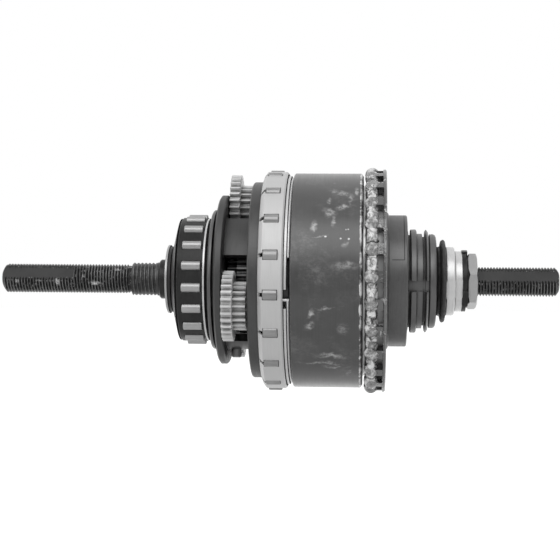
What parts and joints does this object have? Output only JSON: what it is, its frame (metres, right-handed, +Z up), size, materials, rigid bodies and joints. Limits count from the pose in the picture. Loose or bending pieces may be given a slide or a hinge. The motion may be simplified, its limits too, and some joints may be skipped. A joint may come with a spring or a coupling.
{
  "type": "bicycle hub gear",
  "caption": "Internal assembly of a multi-speed bicycle hub: axle, epicyclic gears, two roller clutches, drum, ball bearings and driver.",
  "frame": {"origin": "middle of the axle's length, on its centreline", "axes": "+X along the axle towards the drive side, +Z up, +Y away from the side that shows the first planet gear"},
  "size_m": [0.184, 0.0742, 0.074],
  "materials": {
    "steel_axle": "satin",
    "bright_steel": "satin",
    "roller_steel": "gloss",
    "cage_steel": "satin",
    "carrier_steel": "satin",
    "gear_steel": "satin",
    "sun_steel": "satin",
    "dark_steel": "satin",
    "black_steel": "satin",
    "spring_steel": "satin",
    "greased_steel": "satin",
    "greased_balls": "satin",
    "black_plastic": "matte",
    "dark_seal": "matte",
    "bronze": "satin"
  },
  "bodies": {
    "axle_set": {"axle": "steel_axle", "left_stop_ring": "dark_steel", "left_thrust_washer": "bright_steel", "left_seal": "dark_seal", "right_cone": "bright_steel", "dust_seal": "dark_seal", "cone_spacer": "bright_steel", "lock_washer": "dark_steel", "lock_nut": "bright_steel", "return_spring": "spring_steel", "sun_gear_1": "sun_steel", "sun_gear_4": "sun_steel", "sun_pawl_2": "dark_steel", "sun_pawl_3": "dark_steel"},
    "lock_pawl_1": {"sun_pawl_1": "dark_steel"},
    "lock_pawl_4": {"sun_pawl_4": "dark_steel"},
    "selector": {"shift_sleeve": "spring_steel"},
    "driver_set": {"driver": "dark_steel", "driver_bush": "bronze", "driver_dust_cap": "dark_steel", "bearing_race": "dark_steel", "drum": "black_steel", "ring_gear_1": "carrier_steel", "thrust_ring": "bright_steel", "clutch_spring": "spring_steel"},
    "direct_clutch": {"clutch_ring": "carrier_steel"},
    "carrier_set": {"planet_carrier": "carrier_steel", "carrier_end_plate": "carrier_steel", "carrier_screws": "dark_steel", "planet_pins": "bright_steel", "carrier_bush_left": "bronze", "carrier_bush_right": "bronze", "left_clutch_cam": "carrier_steel", "left_clutch_cap": "carrier_steel", "left_retaining_ring": "bright_steel", "guard_plate": "dark_steel", "carrier_stop_pin": "dark_steel"},
    "left_clutch": {"left_roller_cage": "black_plastic", "left_rollers": "roller_steel"},
    "overdrive_ring": {"ring_gear_2": "black_steel", "cage_spring": "spring_steel", "cage_snap_ring": "bright_steel"},
    "main_clutch": {"roller_cage": "cage_steel", "clutch_rollers": "roller_steel"},
    "free_sun_2": {"sun_gear_2": "sun_steel"},
    "free_sun_3": {"sun_gear_3": "sun_steel"},
    "large_bearing": {"ball_retainer": "greased_steel", "bearing_balls": "greased_balls"},
    "cone_bearing": {"cone_ball_retainer": "cage_steel", "cone_balls": "roller_steel"},
    "planet_1": {"planet_cluster_1": "gear_steel"},
    "input_planet_set_1": {"input_planet_1": "gear_steel"},
    "planet_2": {"planet_cluster_2": "gear_steel"},
    "input_planet_set_2": {"input_planet_2": "gear_steel"},
    "planet_3": {"planet_cluster_3": "gear_steel"},
    "input_planet_set_3": {"input_planet_3": "gear_steel"},
    "drive_pawl_1": {"driver_pawl_1": "dark_steel"},
    "drive_pawl_2": {"driver_pawl_2": "dark_steel"},
    "drive_pawl_3": {"driver_pawl_3": "dark_steel"}
  },
  "joints": [
    {"name": "driver_spin", "type": "hinge", "parent": "axle_set", "child": "driver_set", "pos_m": [0, 0, 0], "axis": [-1, 0, 0], "continuous": true},
    {"name": "carrier_spin", "type": "hinge", "parent": "axle_set", "child": "carrier_set", "pos_m": [0, 0, 0], "axis": [-1, 0, 0], "continuous": true},
    {"name": "planet_1_spin", "type": "hinge", "parent": "carrier_set", "child": "planet_1", "pos_m": [0, -0.02266, -0.00834], "axis": [-1, 0, 0], "continuous": true},
    {"name": "input_planet_1_spin", "type": "hinge", "parent": "carrier_set", "child": "input_planet_set_1", "pos_m": [0, -0.02266, -0.00834], "axis": [-1, 0, 0], "continuous": true},
    {"name": "planet_2_spin", "type": "hinge", "parent": "carrier_set", "child": "planet_2", "pos_m": [0, 0.01855, -0.01546], "axis": [-1, 0, 0], "continuous": true},
    {"name": "input_planet_2_spin", "type": "hinge", "parent": "carrier_set", "child": "input_planet_set_2", "pos_m": [0, 0.01855, -0.01546], "axis": [-1, 0, 0], "continuous": true},
    {"name": "planet_3_spin", "type": "hinge", "parent": "carrier_set", "child": "planet_3", "pos_m": [0, 0.00411, 0.0238], "axis": [-1, 0, 0], "continuous": true},
    {"name": "input_planet_3_spin", "type": "hinge", "parent": "carrier_set", "child": "input_planet_set_3", "pos_m": [0, 0.00411, 0.0238], "axis": [-1, 0, 0], "continuous": true},
    {"name": "overdrive_ring_spin", "type": "hinge", "parent": "axle_set", "child": "overdrive_ring", "pos_m": [0, 0, 0], "axis": [-1, 0, 0], "continuous": true},
    {"name": "sun_2_spin", "type": "hinge", "parent": "axle_set", "child": "free_sun_2", "pos_m": [0, 0, 0], "axis": [-1, 0, 0], "continuous": true},
    {"name": "sun_3_spin", "type": "hinge", "parent": "axle_set", "child": "free_sun_3", "pos_m": [0, 0, 0], "axis": [-1, 0, 0], "continuous": true},
    {"name": "large_bearing_spin", "type": "hinge", "parent": "axle_set", "child": "large_bearing", "pos_m": [0, 0, 0], "axis": [-1, 0, 0], "continuous": true},
    {"name": "cone_bearing_spin", "type": "hinge", "parent": "axle_set", "child": "cone_bearing", "pos_m": [0, 0, 0], "axis": [-1, 0, 0], "continuous": true},
    {"name": "main_clutch_turn", "type": "hinge", "parent": "overdrive_ring", "child": "main_clutch", "pos_m": [0, 0, 0], "axis": [-1, 0, 0], "range_deg": [-2.5, 2.5]},
    {"name": "left_clutch_turn", "type": "hinge", "parent": "carrier_set", "child": "left_clutch", "pos_m": [0, 0, 0], "axis": [-1, 0, 0], "range_deg": [-3, 3]},
    {"name": "selector_turn", "type": "hinge", "parent": "axle_set", "child": "selector", "pos_m": [0, 0, 0], "axis": [-1, 0, 0], "range_deg": [-15, 15]},
    {"name": "sun_pawl_1_fold", "type": "hinge", "parent": "axle_set", "child": "lock_pawl_1", "pos_m": [0.0059, 0.0034, -0.0046], "axis": [-1, 0, 0], "range_deg": [0, 32]},
    {"name": "sun_pawl_4_fold", "type": "hinge", "parent": "axle_set", "child": "lock_pawl_4", "pos_m": [-0.0063, 0.0034, 0.0046], "axis": [1, 0, 0], "range_deg": [0, 32]},
    {"name": "driver_pawl_1_fold", "type": "hinge", "parent": "driver_set", "child": "drive_pawl_1", "pos_m": [0.0263, 0.0102, 0.01074], "axis": [-1, 0, 0], "range_deg": [0, 26]},
    {"name": "driver_pawl_2_fold", "type": "hinge", "parent": "driver_set", "child": "drive_pawl_2", "pos_m": [0.0263, -0.0144, 0.00346], "axis": [-1, 0, 0], "range_deg": [0, 26]},
    {"name": "driver_pawl_3_fold", "type": "hinge", "parent": "driver_set", "child": "drive_pawl_3", "pos_m": [0.0263, 0.0042, -0.0142], "axis": [-1, 0, 0], "range_deg": [0, 26]},
    {"name": "direct_clutch_slide", "type": "slide", "parent": "driver_set", "child": "direct_clutch", "axis": [1, 0, 0], "range_m": [-0.0012, 0]}
  ],
  "couplings": [
    {"joint": "carrier_spin", "follows": "driver_spin", "ratio": 0.52632},
    {"joint": "planet_1_spin", "follows": "driver_spin", "ratio": 1.8947},
    {"joint": "input_planet_1_spin", "follows": "driver_spin", "ratio": 1.8947},
    {"joint": "planet_2_spin", "follows": "driver_spin", "ratio": 1.8947},
    {"joint": "input_planet_2_spin", "follows": "driver_spin", "ratio": 1.8947},
    {"joint": "planet_3_spin", "follows": "driver_spin", "ratio": 1.8947},
    {"joint": "input_planet_3_spin", "follows": "driver_spin", "ratio": 1.8947},
    {"joint": "overdrive_ring_spin", "follows": "driver_spin", "ratio": 0.86466},
    {"joint": "sun_2_spin", "follows": "driver_spin", "ratio": -0.93117},
    {"joint": "sun_3_spin", "follows": "driver_spin", "ratio": -0.24705},
    {"joint": "large_bearing_spin", "follows": "driver_spin", "ratio": 0.93},
    {"joint": "cone_bearing_spin", "follows": "driver_spin", "ratio": 0.596}
  ]
}
